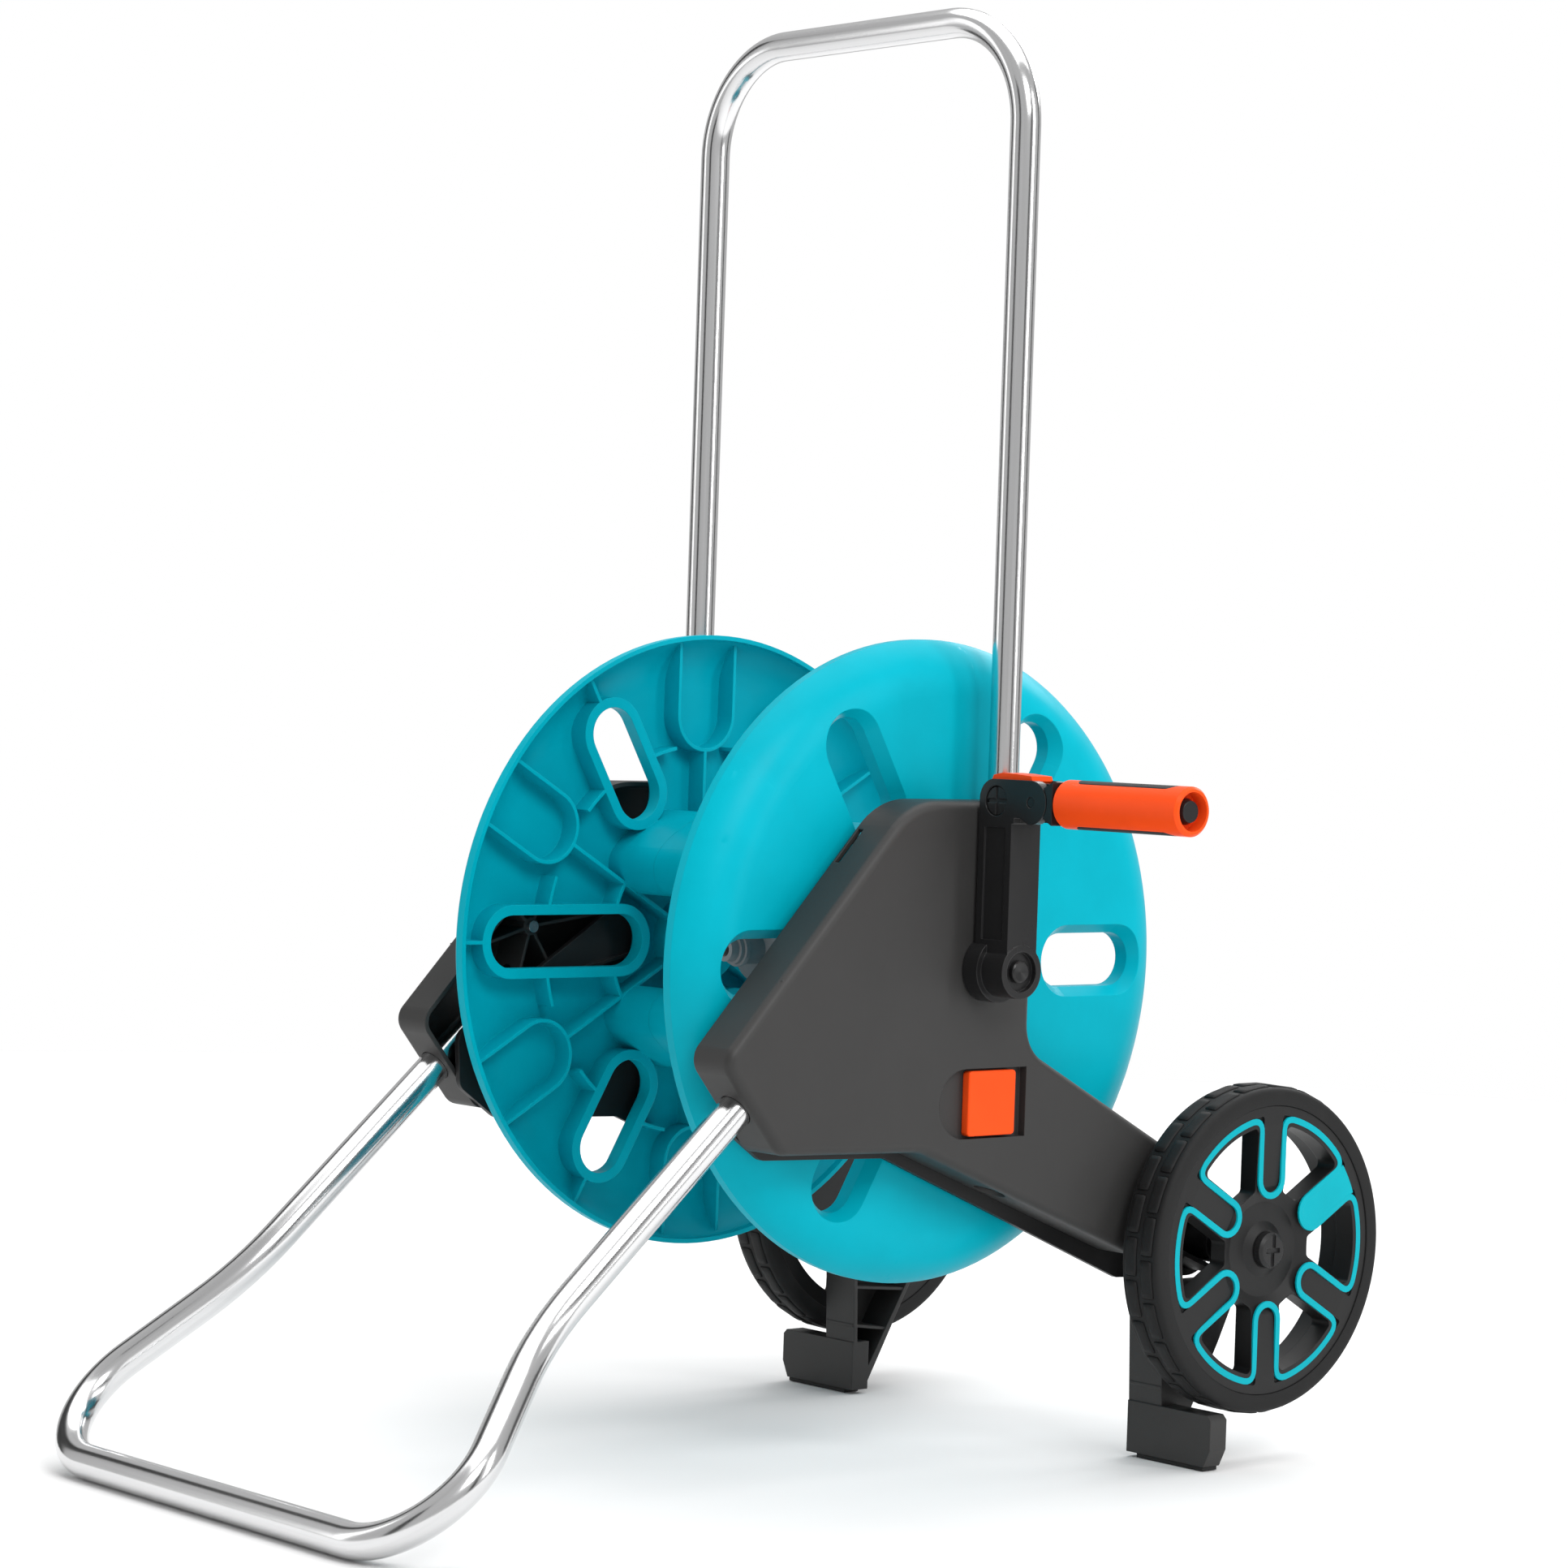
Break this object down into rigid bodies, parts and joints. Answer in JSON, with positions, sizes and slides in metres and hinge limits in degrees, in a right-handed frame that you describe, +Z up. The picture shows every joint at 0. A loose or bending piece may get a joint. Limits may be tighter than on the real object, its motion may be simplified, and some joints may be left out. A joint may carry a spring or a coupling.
{
  "type": "garden hose reel cart",
  "caption": "Two-wheeled garden hose reel cart: slotted drum between side covers, folding crank with turning grip, sliding tube handle and a sloping tube stand",
  "frame": {"origin": "on the ground, under the middle of the bounding box", "axes": "X along the drum axis towards the crank, Y from the stand bar towards the wheels, Z up"},
  "size_m": [0.517, 0.7384, 0.8698],
  "materials": {
    "drum_teal": "smooth moulded, semi gloss",
    "cover_grey": "fine moulded grain, satin",
    "carrier_black": "moulded, satin",
    "bush_natural": "moulded, smooth",
    "shaft_metal": "drawn tube",
    "connector_grey": "moulded, satin",
    "inlet_black": "moulded, satin",
    "seal_rubber": "moulded rubber",
    "polished_tube": "polished tube",
    "signal_orange": "smooth moulded",
    "spring_steel": "bright wire",
    "axle_black": "moulded, satin",
    "tyre_black": "moulded soft plastic",
    "rim_black": "moulded, satin",
    "rim_inlay": "smooth moulded",
    "screw_steel": "zinc plated",
    "crank_black": "smooth moulded",
    "grip_soft": "soft moulded"
  },
  "bodies": {
    "cart": {"right_side_cover": "cover_grey", "left_side_cover": "cover_grey", "right_inner_frame": "carrier_black", "left_inner_frame": "carrier_black", "right_foot": "cover_grey", "left_foot": "cover_grey", "right_foot_sole": "seal_rubber", "left_foot_sole": "seal_rubber", "right_slider_spring": "spring_steel", "left_slider_spring": "spring_steel", "right_bush": "bush_natural", "left_bush": "bush_natural", "right_wheel_axle": "axle_black", "left_wheel_axle": "axle_black", "right_wheel_clip": "axle_black", "left_wheel_clip": "axle_black", "right_cover_screw": "screw_steel", "left_cover_screw": "screw_steel", "stand_tube": "polished_tube", "inlet_connector": "inlet_black", "inlet_seals": "seal_rubber"},
    "handle": {"handle_tube": "polished_tube"},
    "drum": {"drum_flange_right": "drum_teal", "drum_flange_left": "drum_teal", "drum_shaft": "shaft_metal", "hose_connector": "connector_grey", "crank_arm": "crank_black", "crank_hub_plug": "crank_black", "latch_pin": "crank_black", "fold_pin": "screw_steel", "latch_spring": "spring_steel"},
    "latch": {"crank_latch": "signal_orange"},
    "neck": {"grip_neck": "crank_black", "grip_snap": "crank_black"},
    "grip": {"crank_grip": "signal_orange", "grip_inlays": "grip_soft"},
    "wheel_right": {"right_wheel_tyre": "tyre_black", "right_wheel_rim": "rim_black", "right_wheel_inlay": "rim_inlay"},
    "wheel_left": {"left_wheel_tyre": "tyre_black", "left_wheel_rim": "rim_black", "left_wheel_inlay": "rim_inlay"},
    "button_right": {"right_slider_button": "signal_orange"},
    "button_left": {"left_slider_button": "signal_orange"}
  },
  "joints": [
    {"name": "drum_spin", "type": "hinge", "parent": "cart", "child": "drum", "pos_m": [-0.06, 0.05855, 0.3035], "axis": [1, 0, 0], "continuous": true},
    {"name": "latch_press", "type": "hinge", "parent": "drum", "child": "latch", "pos_m": [0.1135, 0.05855, 0.4015], "axis": [0, -1, 0], "range_deg": [0, 8], "stiffness_Nm_per_rad": 0.04, "springref_deg": -6.88, "deforming": ["latch_spring"]},
    {"name": "grip_fold", "type": "hinge", "parent": "drum", "child": "neck", "pos_m": [0.1418, 0.05855, 0.4015], "axis": [0, 1, 0], "range_deg": [0, 90]},
    {"name": "grip_spin", "type": "hinge", "parent": "neck", "child": "grip", "pos_m": [0.19, 0.05855, 0.4015], "axis": [1, 0, 0], "continuous": true},
    {"name": "wheel_right_spin", "type": "hinge", "parent": "cart", "child": "wheel_right", "pos_m": [0.1203, 0.26925, 0.1311], "axis": [1, 0, 0], "continuous": true},
    {"name": "wheel_left_spin", "type": "hinge", "parent": "cart", "child": "wheel_left", "pos_m": [-0.2403, 0.26925, 0.1311], "axis": [1, 0, 0], "continuous": true},
    {"name": "handle_slide", "type": "slide", "parent": "cart", "child": "handle", "axis": [0, 0, -1], "range_m": [0, 0.2]},
    {"name": "button_right_slide", "type": "slide", "parent": "cart", "child": "button_right", "axis": [0, 1, 0], "range_m": [0, 0.0055], "stiffness_N_per_m": 250, "springref_m": -0.003, "deforming": ["right_slider_spring"]},
    {"name": "button_left_slide", "type": "slide", "parent": "cart", "child": "button_left", "axis": [0, 1, 0], "range_m": [0, 0.0055], "stiffness_N_per_m": 250, "springref_m": -0.003, "deforming": ["left_slider_spring"]}
  ]
}
